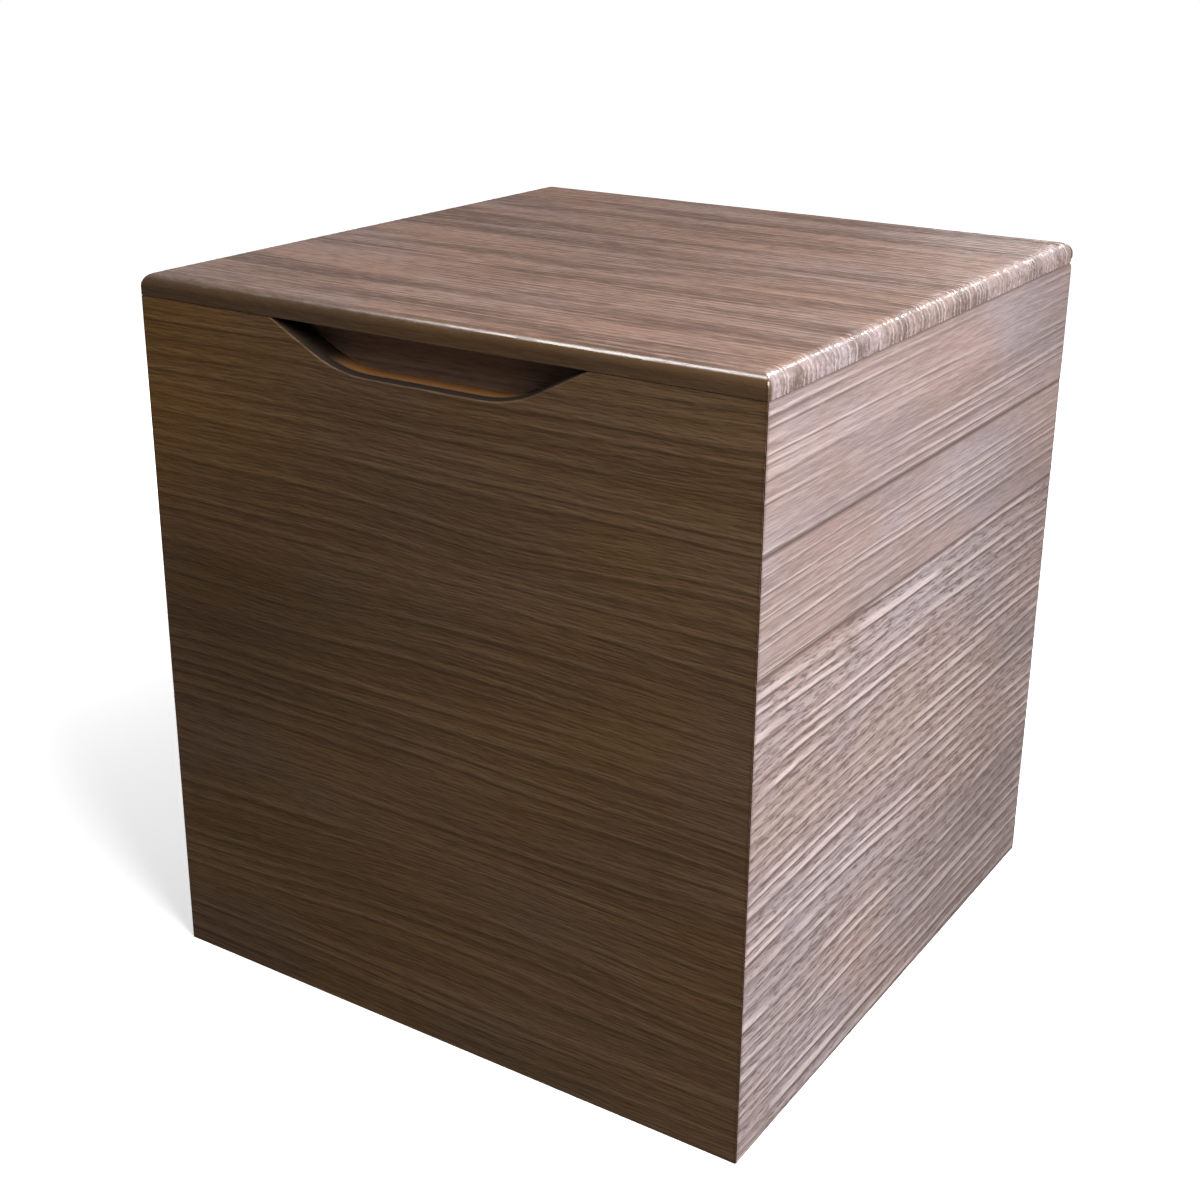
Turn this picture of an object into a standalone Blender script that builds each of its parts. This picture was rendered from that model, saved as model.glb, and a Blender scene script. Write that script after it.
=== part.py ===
"""Rice storage box of charred, brushed paulownia, with a lid hinged at the back.

Metres, +Z up. The origin is the middle of the base. The front, with the finger notch, faces -Y.
"""
import math

import bmesh
import bpy
from mathutils import Matrix, Vector

# Outer size of the closed box
WIDTH = 0.315
DEPTH = 0.320
HEIGHT = 0.340

# Boards of the walls and the bottom
WALL = 0.013
CORNER_RADIUS = 0.0012
UPPER_BOARD = 0.060
MIDDLE_BOARD = 0.050
BOTTOM_THICKNESS = 0.009
BOTTOM_RISE = 0.008
GROOVE_DEPTH = 0.004
SPLINE_WIDTH = 0.009
SPLINE_THICKNESS = 0.003
SPLINE_STOP = 0.005

# Finger notch in the top edge of the front panel
NOTCH_TOP = 0.156
NOTCH_BOTTOM = 0.088
NOTCH_DEPTH = 0.018
NOTCH_RADIUS = 0.060
NOTCH_EASE = 0.0025

# Lid board and the rim under it
LID_THICKNESS = 0.010
LID_ROUNDING = 0.006
RIM_HEIGHT = 0.030
RIM_THICKNESS = 0.008
RIM_CHAMFER = 0.002

# Butt hinges between the back panel's top edge and the lid
HINGE_INSET = 0.065
HINGE_LENGTH = 0.040
HINGE_SETBACK = 0.0026
KNUCKLE_RADIUS = 0.0022
KNUCKLE_COUNT = 3
PIN_RADIUS = 0.0010
PIN_HEAD_RADIUS = 0.0018
PIN_HEAD_LENGTH = 0.0010
LEAF_THICKNESS = 0.0010
LEAF_CORNER = 0.0015
LEAF_COVER = 0.0020
STOP_BEVEL_DEG = 52.0

# Countersunk screws of the hinge leaves
SCREW_INSET = 0.007
SCREW_HEAD_RADIUS = 0.0020
SCREW_HEAD_DEPTH = 0.0009
SCREW_SHANK_RADIUS = 0.0011
SCREW_TIP_RADIUS = 0.0003
SCREW_TIP_LENGTH = 0.0020
SCREW_SINK = 0.0001
SCREW_SLOT_WIDTH = 0.0006
SCREW_SLOT_DEPTH = 0.0004
WALL_SCREW_LENGTH = 0.0120
LID_SCREW_COVER = 0.0025

# Clearances
JOINT_GAP = 0.0003
SWING_GAP = 0.0005
RIM_SIDE_GAP = 0.0010
RIM_BACK_GAP = 0.0015

# How far a cutter reaches past the surface that it cuts
REACH = 0.004
FACE_CLEAR = 0.00005

# Segments of round shapes
ARC_STEPS = 6
CORNER_STEPS = 3
LIP_STEPS = 5
KNUCKLE_SIDES = 24
PIN_SIDES = 20
SCREW_SIDES = 16
SMOOTH_ANGLE = math.radians(35)

# Levels and places that follow from the sizes above
LID_UNDERSIDE = HEIGHT - LID_THICKNESS
WALL_TOP = LID_UNDERSIDE - JOINT_GAP
PIVOT = Vector((0, DEPTH / 2 - HINGE_SETBACK, LID_UNDERSIDE - JOINT_GAP / 2))
INNER_HALF_WIDTH = WIDTH / 2 - WALL
INNER_HALF_DEPTH = DEPTH / 2 - WALL
LEAF_WIDTH = WALL - HINGE_SETBACK - LEAF_COVER
SCREW_LINE = (KNUCKLE_RADIUS + LEAF_WIDTH) / 2

# Surface finishes: colour, roughness, metallic
CHARRED_WOOD = ((0.085, 0.052, 0.034), 0.55, 0.0)
PALE_WOOD = ((0.480, 0.340, 0.210), 0.65, 0.0)
AGED_BRASS = ((0.300, 0.200, 0.080), 0.38, 1.0)


def clear_scene():
    for item in list(bpy.data.objects):
        bpy.data.objects.remove(item)


# Building blocks

def loft(rings):
    """Closed solid through rings of equal point count, capped at both ends."""
    mesh = bmesh.new()
    rows = [[mesh.verts.new(point) for point in ring] for ring in rings]
    count = len(rings[0])
    for lower, upper in zip(rows, rows[1:]):
        for i in range(count):
            j = (i + 1) % count
            mesh.faces.new((lower[i], lower[j], upper[j], upper[i]))
    mesh.faces.new(list(reversed(rows[0])))
    mesh.faces.new(rows[-1])
    bmesh.ops.recalc_face_normals(mesh, faces=mesh.faces)
    return mesh


def block(low, high):
    """Box between two opposite corners."""
    x0, y0, z0 = low
    x1, y1, z1 = high
    plan = [(x0, y0), (x1, y0), (x1, y1), (x0, y1)]
    return loft([[(x, y, z) for x, y in plan] for z in (z0, z1)])


def rod(profile, sides, axis):
    """Solid of revolution from (distance along the axis, radius) pairs."""
    turns = [2 * math.pi * i / sides for i in range(sides)]
    rings = []
    for along, radius in profile:
        circle = [(radius * math.cos(a), radius * math.sin(a)) for a in turns]
        if axis == "X":
            rings.append([(along, p, q) for p, q in circle])
        else:
            rings.append([(p, q, along) for p, q in circle])
    return loft(rings)


def arc(centre, radius, start, end, steps):
    """Points on a circular arc, both ends included. Angles in radians."""
    points = []
    for i in range(steps + 1):
        angle = start + (end - start) * i / steps
        points.append((centre[0] + radius * math.cos(angle), centre[1] + radius * math.sin(angle)))
    return points


def mirrored(points):
    """The outline's other half, mirrored in its first coordinate and reversed in order."""
    return [(-p, q) for p, q in reversed(points)]


def finish(name, look):
    colour, roughness, metallic = look
    material = bpy.data.materials.new(name + "_finish")
    material.use_nodes = True
    shader = material.node_tree.nodes["Principled BSDF"]
    shader.inputs["Base Color"].default_value = (*colour, 1)
    shader.inputs["Roughness"].default_value = roughness
    shader.inputs["Metallic"].default_value = metallic
    return material


def make_object(name, mesh, look=None):
    data = bpy.data.meshes.new(name)
    mesh.to_mesh(data)
    mesh.free()
    item = bpy.data.objects.new(name, data)
    bpy.context.collection.objects.link(item)
    if look:
        data.materials.append(finish(name, look))
    return item


def combine(target, tool_mesh, operation="DIFFERENCE", place=Matrix.Identity(4)):
    """Boolean of an object with a tool solid, applied to the object's mesh."""
    tool = make_object("tool", tool_mesh)
    tool.matrix_world = place
    tool.hide_render = True
    tool.display_type = "WIRE"
    step = target.modifiers.new("combine", "BOOLEAN")
    step.operation = operation
    step.solver = "EXACT"
    step.object = tool
    bpy.context.view_layer.update()
    shaped = target.evaluated_get(bpy.context.evaluated_depsgraph_get())
    result = bpy.data.meshes.new_from_object(shaped)
    target.modifiers.clear()
    spent = (target.data, tool.data)
    target.data = result
    bpy.data.objects.remove(tool)
    for data in spent:
        bpy.data.meshes.remove(data)
    result.name = target.name


def shade(item):
    item.data.shade_smooth()
    item.data.set_sharp_from_angle(angle=SMOOTH_ANGLE)


def place(item, location, turn=0.0):
    item.location = location
    item.rotation_euler = (0, 0, turn)
    bpy.context.view_layer.update()


def hang_on_pivot(item, pivot):
    """Move a finished piece's origin to the lid's joint axis and parent it there."""
    item.data.transform(Matrix.Translation(-PIVOT) @ item.matrix_world)
    item.matrix_world = Matrix.Identity(4)
    item.parent = pivot


# Walls. Each is built with u along its length, v inward from its outer face, and z up.

def wall_outline(length):
    """Plan of a wall with mitred ends, each ending in half of the rounded corner."""
    half = length / 2
    slip = JOINT_GAP / math.sqrt(2)
    mitre_angle = -math.pi / 4 - math.asin(JOINT_GAP / 2 / CORNER_RADIUS)
    corner = (half - CORNER_RADIUS, CORNER_RADIUS)
    end = arc(corner, CORNER_RADIUS, -math.pi / 2, mitre_angle, CORNER_STEPS)
    end.append((half - WALL - slip, WALL))
    return end + mirrored(end)


def wall_board(name, length, bottom, top):
    """One board of a wall between two levels, with the grooves that cross it."""
    plan = wall_outline(length)
    board = make_object(name, loft([[(u, v, z) for u, v in plan] for z in (bottom, top)]), CHARRED_WOOD)
    if bottom < BOTTOM_RISE:
        low = (-length, WALL - GROOVE_DEPTH, BOTTOM_RISE - JOINT_GAP)
        high = (length, WALL + REACH, BOTTOM_RISE + BOTTOM_THICKNESS + JOINT_GAP)
        combine(board, block(low, high))
    for end in (-1, 1):
        middle = Vector((end * (length - WALL) / 2, WALL / 2, 0))
        combine(board, spline_solid(JOINT_GAP), place=Matrix.Translation(middle) @ across_mitre(end))
    return board


def across_mitre(end):
    """Turn that lays a spline across the mitre at one end of a wall."""
    return Matrix.Rotation(end * math.pi / 4, 4, "Z")


def spline_solid(gap=0.0):
    """Loose tongue of a corner, or with a gap the slot that holds it."""
    half_width = SPLINE_WIDTH / 2 + gap
    half_thickness = SPLINE_THICKNESS / 2 + gap
    low = (-half_width, -half_thickness, SPLINE_STOP - gap)
    high = (half_width, half_thickness, WALL_TOP - SPLINE_STOP + gap)
    return block(low, high)


def notch_outline(offset):
    """Notch with slanting ends and round lower corners, grown by an offset, from the wall's top."""
    slope = math.atan2(NOTCH_DEPTH, (NOTCH_TOP - NOTCH_BOTTOM) / 2)
    tangent = NOTCH_RADIUS * math.tan(slope / 2)
    centre = (NOTCH_BOTTOM / 2 - tangent, WALL_TOP - NOTCH_DEPTH + NOTCH_RADIUS)
    side = arc(centre, NOTCH_RADIUS + offset, -math.pi / 2, -math.pi / 2 + slope, ARC_STEPS)
    last_u, last_z = side[-1]
    rise = WALL_TOP + REACH - last_z
    side.append((last_u + rise / math.tan(slope), WALL_TOP + REACH))
    return side + mirrored(side)


def front_panel():
    panel = wall_board("front_panel", WIDTH, 0, WALL_TOP)
    lip = arc((NOTCH_EASE, NOTCH_EASE), NOTCH_EASE, math.pi, 3 * math.pi / 2, LIP_STEPS)
    depths = [(-REACH, NOTCH_EASE), (-FACE_CLEAR, NOTCH_EASE)] + lip[1:] + [(WALL + REACH, 0)]
    rings = [[(u, v, z) for u, z in notch_outline(offset)] for v, offset in depths]
    combine(panel, loft(rings))
    place(panel, (0, -DEPTH / 2, 0))
    shade(panel)


def side_boards(side, location, turn):
    """Upper, middle and lower board of a side, glued edge to edge."""
    upper_joint = WALL_TOP - UPPER_BOARD
    lower_joint = upper_joint - MIDDLE_BOARD
    half = JOINT_GAP / 2
    levels = {
        "upper": (upper_joint + half, WALL_TOP),
        "middle": (lower_joint + half, upper_joint - half),
        "lower": (0, lower_joint - half),
    }
    for level, (bottom, top) in levels.items():
        board = wall_board(f"{side}_{level}_board", DEPTH, bottom, top)
        place(board, location, turn)
        if level == "upper":
            combine(board, stop_bevel(-1))
        shade(board)


def back_panel():
    panel = wall_board("back_panel", WIDTH, 0, WALL_TOP)
    place(panel, (0, DEPTH / 2, 0), math.pi)
    combine(panel, stop_bevel(-1))
    for centre in hinge_centres():
        let_in_hinge(panel, centre, -1)
    shade(panel)


def bottom_panel():
    """Bottom board, let into the groove on all sides, with its corners clipped to clear the splines."""
    half_x = INNER_HALF_WIDTH + GROOVE_DEPTH - JOINT_GAP
    half_y = INNER_HALF_DEPTH + GROOVE_DEPTH - JOINT_GAP
    clip = GROOVE_DEPTH
    right = [(half_x - clip, -half_y), (half_x, clip - half_y)]
    right += [(half_x, half_y - clip), (half_x - clip, half_y)]
    plan = right + mirrored(right)
    levels = (BOTTOM_RISE, BOTTOM_RISE + BOTTOM_THICKNESS)
    make_object("bottom_panel", loft([[(x, y, z) for x, y in plan] for z in levels]), PALE_WOOD)


def corner_splines():
    for row, end_y in (("front", -1), ("back", 1)):
        for side, end_x in (("left", -1), ("right", 1)):
            spline = make_object(f"{row}_{side}_spline", spline_solid(), PALE_WOOD)
            middle_x = end_x * (WIDTH - WALL) / 2
            middle_y = end_y * (DEPTH - WALL) / 2
            place(spline, (middle_x, middle_y, 0), -end_x * end_y * math.pi / 4)


# Lid

def lid_ring(inset, level):
    """Plan of the lid at one level, a rectangle with eased corners."""
    half_x = WIDTH / 2 - inset
    half_y = DEPTH / 2 - inset
    x = half_x - CORNER_RADIUS
    y = half_y - CORNER_RADIUS
    right = arc((x, -y), CORNER_RADIUS, -math.pi / 2, 0, CORNER_STEPS)
    right += arc((x, y), CORNER_RADIUS, 0, math.pi / 2, CORNER_STEPS)
    return [(p, q, level) for p, q in right + mirrored(right)]


def lid_board(pivot):
    """Lid with its top edges rounded over and its back lower edge bevelled as the opening stop."""
    rings = [lid_ring(0, LID_UNDERSIDE)]
    for i in range(ARC_STEPS + 1):
        angle = math.pi / 2 * i / ARC_STEPS
        inset = LID_ROUNDING * (1 - math.cos(angle))
        rings.append(lid_ring(inset, HEIGHT - LID_ROUNDING * (1 - math.sin(angle))))
    board = make_object("lid_board", loft(rings), CHARRED_WOOD)
    combine(board, stop_bevel(1))
    for centre in hinge_centres():
        let_in_hinge(board, centre, 1)
    shade(board)
    hang_on_pivot(board, pivot)


def rim_front_face():
    """Y of the front rim's face: as its lower edge swings up it still clears the front panel."""
    arm = PIVOT.y + INNER_HALF_DEPTH - SWING_GAP
    drop = RIM_HEIGHT + JOINT_GAP
    return PIVOT.y - math.sqrt(arm ** 2 - drop ** 2)


def rim_batten(name, length, centre, turn, pivot):
    """Batten under the lid. Built along X with its outer face on y = 0, chamfered along the lower edge."""
    section = [
        (0, -RIM_HEIGHT + RIM_CHAMFER),
        (RIM_CHAMFER, -RIM_HEIGHT),
        (RIM_THICKNESS, -RIM_HEIGHT),
        (RIM_THICKNESS, -JOINT_GAP),
        (0, -JOINT_GAP),
    ]
    ends = (-length / 2, length / 2)
    batten = make_object(name, loft([[(x, y, z) for y, z in section] for x in ends]), CHARRED_WOOD)
    place(batten, (centre[0], centre[1], LID_UNDERSIDE), turn)
    hang_on_pivot(batten, pivot)


def lid_rim(pivot):
    front = rim_front_face()
    back = INNER_HALF_DEPTH - RIM_BACK_GAP
    side = INNER_HALF_WIDTH - RIM_SIDE_GAP
    across = back - front - 2 * (RIM_THICKNESS + JOINT_GAP)
    middle = (front + back) / 2
    rim_batten("front_rim", 2 * side, (0, front), 0, pivot)
    rim_batten("back_rim", 2 * side, (0, back), math.pi, pivot)
    rim_batten("right_rim", across, (side, middle), math.pi / 2, pivot)
    rim_batten("left_rim", across, (-side, middle), -math.pi / 2, pivot)


# Hinges. Each is built about its pin, with X along the pin, the leaves toward -Y and the lid at +Z.

def hinge_centres():
    return [PIVOT + Vector((side * (WIDTH / 2 - HINGE_INSET), 0, 0)) for side in (-1, 1)]


def screw_places(centre, part):
    """Middle of each screw head in one leaf. part is 1 for the lid and -1 for the wall."""
    face = part * (JOINT_GAP / 2 + SCREW_SINK)
    across = HINGE_LENGTH / 2 - SCREW_INSET
    return [centre + Vector((side * across, -SCREW_LINE, face)) for side in (-1, 1)]


def screw_length(part):
    if part > 0:
        return LID_THICKNESS - LID_SCREW_COVER
    return WALL_SCREW_LENGTH


def screw_solid(length, gap=0.0):
    """Screw pointing down from its head, or with a gap the countersunk hole for it."""
    profile = [
        (-length - gap, SCREW_TIP_RADIUS + gap),
        (-length + SCREW_TIP_LENGTH, SCREW_SHANK_RADIUS + gap),
        (-SCREW_HEAD_DEPTH, SCREW_SHANK_RADIUS + gap),
        (0, SCREW_HEAD_RADIUS + gap),
    ]
    if gap:
        profile.append((REACH, SCREW_HEAD_RADIUS + gap))
    return rod(profile, SCREW_SIDES, "Z")


def screw_frame(spot, part):
    """Frame of a screw: driven down into the wall, or up into the lid."""
    return Matrix.Translation(spot) @ Matrix.Rotation(math.pi if part > 0 else 0, 4, "X")


def drill_screws(item, centre, part):
    for spot in screw_places(centre, part):
        combine(item, screw_solid(screw_length(part), JOINT_GAP), place=screw_frame(spot, part))


def stop_bevel(part):
    """Wedge along the back edge, also through the sides' mitres. The bevels meet at the fully open lid."""
    edge = PIVOT.z + part * JOINT_GAP / 2
    far = PIVOT.y + HINGE_SETBACK + REACH
    rise = (far - PIVOT.y) * math.tan(math.radians(STOP_BEVEL_DEG))
    beyond = edge - part * REACH
    section = [(PIVOT.y, edge), (far, edge + part * rise), (far, beyond), (PIVOT.y, beyond)]
    return loft([[(x, y, z) for y, z in section] for x in (-WIDTH, WIDTH)])


def let_in_hinge(item, centre, part):
    """Mortise for one leaf and the knuckles, with the screw holes."""
    half = HINGE_LENGTH / 2 + JOINT_GAP
    floor = part * (JOINT_GAP / 2 + LEAF_THICKNESS + JOINT_GAP)
    low_z, high_z = sorted((floor, -part * REACH))
    mortise = block((-half, -LEAF_WIDTH - JOINT_GAP, low_z), (half, 0, high_z))
    combine(item, mortise, place=Matrix.Translation(centre))
    reach = half + PIN_HEAD_LENGTH + JOINT_GAP
    room = KNUCKLE_RADIUS + JOINT_GAP
    combine(item, rod([(-reach, room), (reach, room)], KNUCKLE_SIDES, "X"), place=Matrix.Translation(centre))
    drill_screws(item, centre, part)


def leaf_plate(part):
    """Flat of a leaf, its free corners rounded."""
    half = HINGE_LENGTH / 2
    corner = (half - LEAF_CORNER, -LEAF_WIDTH + LEAF_CORNER)
    edge = arc(corner, LEAF_CORNER, -math.pi / 2, 0, CORNER_STEPS)
    edge.append((half, 0))
    plan = edge + mirrored(edge)
    near = part * JOINT_GAP / 2
    levels = sorted((near, near + part * LEAF_THICKNESS))
    return loft([[(x, y, z) for x, y in plan] for z in levels])


def knuckle(i, gap=0.0):
    """Barrel of one knuckle, half a joint gap short at each end, or with a gap the room that it needs."""
    pitch = HINGE_LENGTH / KNUCKLE_COUNT
    middle = (i + 0.5) * pitch - HINGE_LENGTH / 2
    half = (pitch - JOINT_GAP) / 2 + gap
    radius = KNUCKLE_RADIUS + gap
    return rod([(middle - half, radius), (middle + half, radius)], KNUCKLE_SIDES, "X")


def hinge_leaf(name, centre, part):
    """Leaf with its share of the knuckles, bored for the pin and drilled for its screws."""
    leaf = make_object(name, leaf_plate(part), AGED_BRASS)
    first_own = 0 if part < 0 else 1
    for i in range(KNUCKLE_COUNT):
        if i % 2 == first_own:
            combine(leaf, knuckle(i), "UNION")
        else:
            combine(leaf, knuckle(i, JOINT_GAP))
    bore = PIN_RADIUS + JOINT_GAP
    combine(leaf, rod([(-HINGE_LENGTH, bore), (HINGE_LENGTH, bore)], PIN_SIDES, "X"))
    place(leaf, centre)
    drill_screws(leaf, centre, part)
    shade(leaf)
    return leaf


def hinge_pin(name, centre):
    """Pin with a rounded head at each end of the knuckles."""
    end = HINGE_LENGTH / 2 + JOINT_GAP
    half = [
        (end, PIN_RADIUS),
        (end, PIN_HEAD_RADIUS),
        (end + PIN_HEAD_LENGTH / 2, PIN_HEAD_RADIUS),
        (end + PIN_HEAD_LENGTH, PIN_RADIUS),
    ]
    pin = make_object(name, rod(mirrored(half) + half, PIN_SIDES, "X"), AGED_BRASS)
    place(pin, centre)
    shade(pin)


def hinge_screws(prefix, centre, part):
    """The two slotted screws of one leaf."""
    screws = []
    for side, spot in zip(("left", "right"), screw_places(centre, part)):
        screw = make_object(f"{prefix}_{side}_screw", screw_solid(screw_length(part)), AGED_BRASS)
        half = SCREW_SLOT_WIDTH / 2
        slot = block((-SCREW_HEAD_RADIUS, -half, -SCREW_SLOT_DEPTH), (SCREW_HEAD_RADIUS, half, REACH))
        combine(screw, slot)
        screw.matrix_world = screw_frame(spot, part)
        bpy.context.view_layer.update()
        shade(screw)
        screws.append(screw)
    return screws


def hinges(pivot):
    for side, centre in zip(("left", "right"), hinge_centres()):
        hinge_leaf(f"{side}_hinge_wall_leaf", centre, -1)
        hinge_pin(f"{side}_hinge_pin", centre)
        hinge_screws(f"{side}_hinge_wall", centre, -1)
        moving = [hinge_leaf(f"{side}_hinge_lid_leaf", centre, 1)]
        moving += hinge_screws(f"{side}_hinge_lid", centre, 1)
        for item in moving:
            hang_on_pivot(item, pivot)


def lid_pivot():
    """Empty on the hinge axis that carries everything that swings with the lid."""
    pivot = bpy.data.objects.new("lid_pivot", None)
    bpy.context.collection.objects.link(pivot)
    pivot.location = PIVOT
    bpy.context.view_layer.update()
    return pivot


def build():
    clear_scene()
    front_panel()
    side_boards("right", (WIDTH / 2, 0, 0), math.pi / 2)
    side_boards("left", (-WIDTH / 2, 0, 0), -math.pi / 2)
    back_panel()
    bottom_panel()
    corner_splines()
    pivot = lid_pivot()
    lid_board(pivot)
    lid_rim(pivot)
    hinges(pivot)


build()
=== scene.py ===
import math

import bmesh
import bpy
from mathutils import Euler, Matrix, Vector


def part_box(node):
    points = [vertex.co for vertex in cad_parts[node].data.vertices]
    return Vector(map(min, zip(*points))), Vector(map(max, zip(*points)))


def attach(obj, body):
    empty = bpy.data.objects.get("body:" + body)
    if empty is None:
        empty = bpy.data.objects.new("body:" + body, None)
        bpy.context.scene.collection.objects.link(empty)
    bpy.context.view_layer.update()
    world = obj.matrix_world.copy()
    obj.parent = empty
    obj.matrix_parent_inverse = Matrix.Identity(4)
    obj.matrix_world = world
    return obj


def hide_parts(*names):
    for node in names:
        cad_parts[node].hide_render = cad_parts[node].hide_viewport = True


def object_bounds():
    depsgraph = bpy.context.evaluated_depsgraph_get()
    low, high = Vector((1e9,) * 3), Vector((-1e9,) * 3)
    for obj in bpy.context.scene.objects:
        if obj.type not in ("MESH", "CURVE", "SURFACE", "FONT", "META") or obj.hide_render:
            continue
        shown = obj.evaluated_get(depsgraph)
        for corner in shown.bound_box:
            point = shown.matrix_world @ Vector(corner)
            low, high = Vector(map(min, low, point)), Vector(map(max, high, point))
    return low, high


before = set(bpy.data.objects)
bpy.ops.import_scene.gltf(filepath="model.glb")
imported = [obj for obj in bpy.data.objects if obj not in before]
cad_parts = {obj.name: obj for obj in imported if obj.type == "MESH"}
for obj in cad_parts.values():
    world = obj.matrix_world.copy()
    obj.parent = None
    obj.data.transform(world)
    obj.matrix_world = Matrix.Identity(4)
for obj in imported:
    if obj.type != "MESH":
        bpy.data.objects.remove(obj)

CAD_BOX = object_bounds()

# Sizes read from the frame, in metres
LOW, HIGH = (Vector(corner) for corner in CAD_BOX)
MIDDLE = (LOW + HIGH) / 2
HALF = (HIGH - LOW) / 2
LID_LOW, LID_HIGH = (Vector(corner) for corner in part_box("lid_board"))
FRONT_LOW, FRONT_HIGH = (Vector(corner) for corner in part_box("front_panel"))
WALL = FRONT_HIGH.y - FRONT_LOW.y
LID_THICKNESS = LID_HIGH.z - LID_LOW.z
LID_ROUNDING = 0.006

# How finely the brushed faces are cut, across and along the grain, round the lid's edges and down its sides
ACROSS_STEP = 0.0004
ALONG_STEP = 0.006
ROUNDING_STEPS = 12
SIDE_STEPS = 6

# A block that carries a brushed face reaches this far past the board that it trims
OVERHANG = 0.002

# Least depth of a brushed face under the planed face, and the softening at a glued edge
SKIN = 0.00008
EASE_WIDTH = 0.0014
EASE_DEPTH = 0.0004

# Least angle of an edge that stays crisp, between two sawn and between two brushed faces
SAWN_CREASE = math.radians(30)
BRUSHED_CREASE = math.radians(52)

# Points of a solid that are nearer than this are one point
SAME_POINT = 1e-6

# Grain directions: which of X, Y and Z runs along, across and into each face
FRONT_GRAIN = "XZY"
SIDE_GRAIN = "YZX"
LID_GRAIN = "XYZ"
SPLINE_GRAIN = "ZXY"


# Grain of each board

def rings(width, sway, line, pore, seed, evenness=0.0, ridge_share=0.26):
    """Ring width, sway, length of a ring line and of a pore, in metres, and the ridge's share of a ring."""
    return {
        "Ring Width": width,
        "Sway": sway,
        "Line Length": line,
        "Fleck Length": pore,
        "Seed": seed,
        "Evenness": evenness,
        "Ridge Share": ridge_share,
    }


FRONT_RINGS = rings(0.0068, 0.034, 0.15, 0.012, 0.31, evenness=0.55, ridge_share=0.34)
BACK_RINGS = rings(0.0074, 0.034, 0.15, 0.012, 1.73, evenness=0.50, ridge_share=0.34)
LID_RINGS = rings(0.0038, 0.014, 0.06, 0.010, 2.90)
UPPER_RINGS = rings(0.0044, 0.004, 0.22, 0.014, 4.10)
MIDDLE_RINGS = rings(0.0038, 0.004, 0.20, 0.012, 5.40)
LOWER_RINGS = rings(0.0060, 0.030, 0.07, 0.008, 6.20, evenness=0.60, ridge_share=0.36)
RIM_RINGS = rings(0.0030, 0.004, 0.12, 0.012, 7.70)
BOTTOM_RINGS = rings(0.0060, 0.020, 0.20, 0.012, 8.80)

# Added to the seeds of the right side's boards for those on the left
LEFT_SEED = 11.0

# Depth of the brushed relief, in metres
FRONT_DEPTH = 0.00014
BACK_DEPTH = 0.00024
LID_DEPTH = 0.00022
UPPER_DEPTH = 0.00015
MIDDLE_DEPTH = 0.00018
LOWER_DEPTH = 0.00040


# Colours of the charred wood

def char(warm, grey, light, dark):
    """Two ground colours, that of the worn ring lines and that of the grooves."""
    return {"warm": warm, "grey": grey, "light": light, "dark": dark}


# Front and back boards: their char colours, darkened with painted shade
FRONT_CHAR_AND_SHADE = char((0.141, 0.076, 0.032), (0.129, 0.076, 0.043), (0.200, 0.121, 0.066), (0.052, 0.027, 0.012))
# The lid's front edge where it turns down: painted shade, darker than the front's char
EDGE_PAINTED_SHADE = char((0.094, 0.046, 0.015), (0.086, 0.046, 0.020), (0.132, 0.073, 0.032), (0.038, 0.018, 0.007))
# Side boards: their char colours, paled and greyed towards pink with painted sheen
SIDE_CHAR_AND_SHEEN = char((0.266, 0.187, 0.168), (0.250, 0.203, 0.215), (0.455, 0.372, 0.362), (0.096, 0.064, 0.054))
LID_CHAR = char((0.272, 0.153, 0.108), (0.247, 0.165, 0.142), (0.412, 0.278, 0.220), (0.092, 0.046, 0.030))
# Rims: their char colours, lightened with painted light against the shade they sit in behind the notch
RIM_CHAR_AND_LIGHT = char((0.310, 0.185, 0.125), (0.270, 0.180, 0.165), (0.420, 0.290, 0.220), (0.120, 0.070, 0.048))

# How strongly a board shines, and how strongly its lines, flecks and slow changes of tone show.
# A smoked patch and a patch of painted light each have an amount, a centre and a reach.
FRONT_LOOK = {**FRONT_CHAR_AND_SHADE, "shine": 0.15, "lines": 0.44, "flecks": 0.27, "tone": 0.38}
NOTCHED_LOOK = {
    **FRONT_LOOK,
    "smoke": (0.40, (-0.125, FRONT_LOW.y, 0.19), 0.10),
    # A patch of painted warm light on the front's upper left, multiplied in with the tint below
    "painted_light": (1.0, (-0.135, FRONT_LOW.y, 0.30), 0.13),
    "tint": (1.45, 1.33, 0.97),
    # The notch's lip and ends: painted shade, near black
    "lip": (0.009, 0.005, 0.003),
    # The notch's ledge: painted light where it faces up, orange-brown
    "lit_ledge": (0.27, 0.115, 0.036),
}
LID_LOOK = {**LID_CHAR, "shine": 0.5, "lines": 0.50, "flecks": 0.50, "tone": 0.95, "turned": True}
# Both side looks darken with painted shade towards the back and the foot
FINE_LOOK = {**SIDE_CHAR_AND_SHEEN, "shine": 0.5, "lines": 0.62, "flecks": 0.26, "tone": 0.30, "back_shade": 0.44}
COARSE_LOOK = {
    **SIDE_CHAR_AND_SHEEN,
    # Paler ring lines on the lower boards, with painted sheen
    "light": (0.510, 0.422, 0.415),
    "shine": 0.5,
    "lines": 0.85,
    "flecks": 0.85,
    "tone": 0.25,
    # Painted shade towards the back and the foot
    "back_shade": 0.50,
    "gather": 0.75,
}
RIM_LOOK = {**RIM_CHAR_AND_LIGHT, "shine": 0.22, "lines": 0.35, "flecks": 0.35, "tone": 0.35}

# Colours of bare planed wood and of aged brass
BARE_GROUND = (0.56, 0.42, 0.28)
BARE_SHADE = tuple(0.8 * value for value in BARE_GROUND)
BARE_RING = (0.40, 0.27, 0.16)
BRASS_CLEAN = (0.42, 0.29, 0.12)
BRASS_BROWN = (0.15, 0.095, 0.045)
BRASS_RUBBED = (0.55, 0.40, 0.19)

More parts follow.
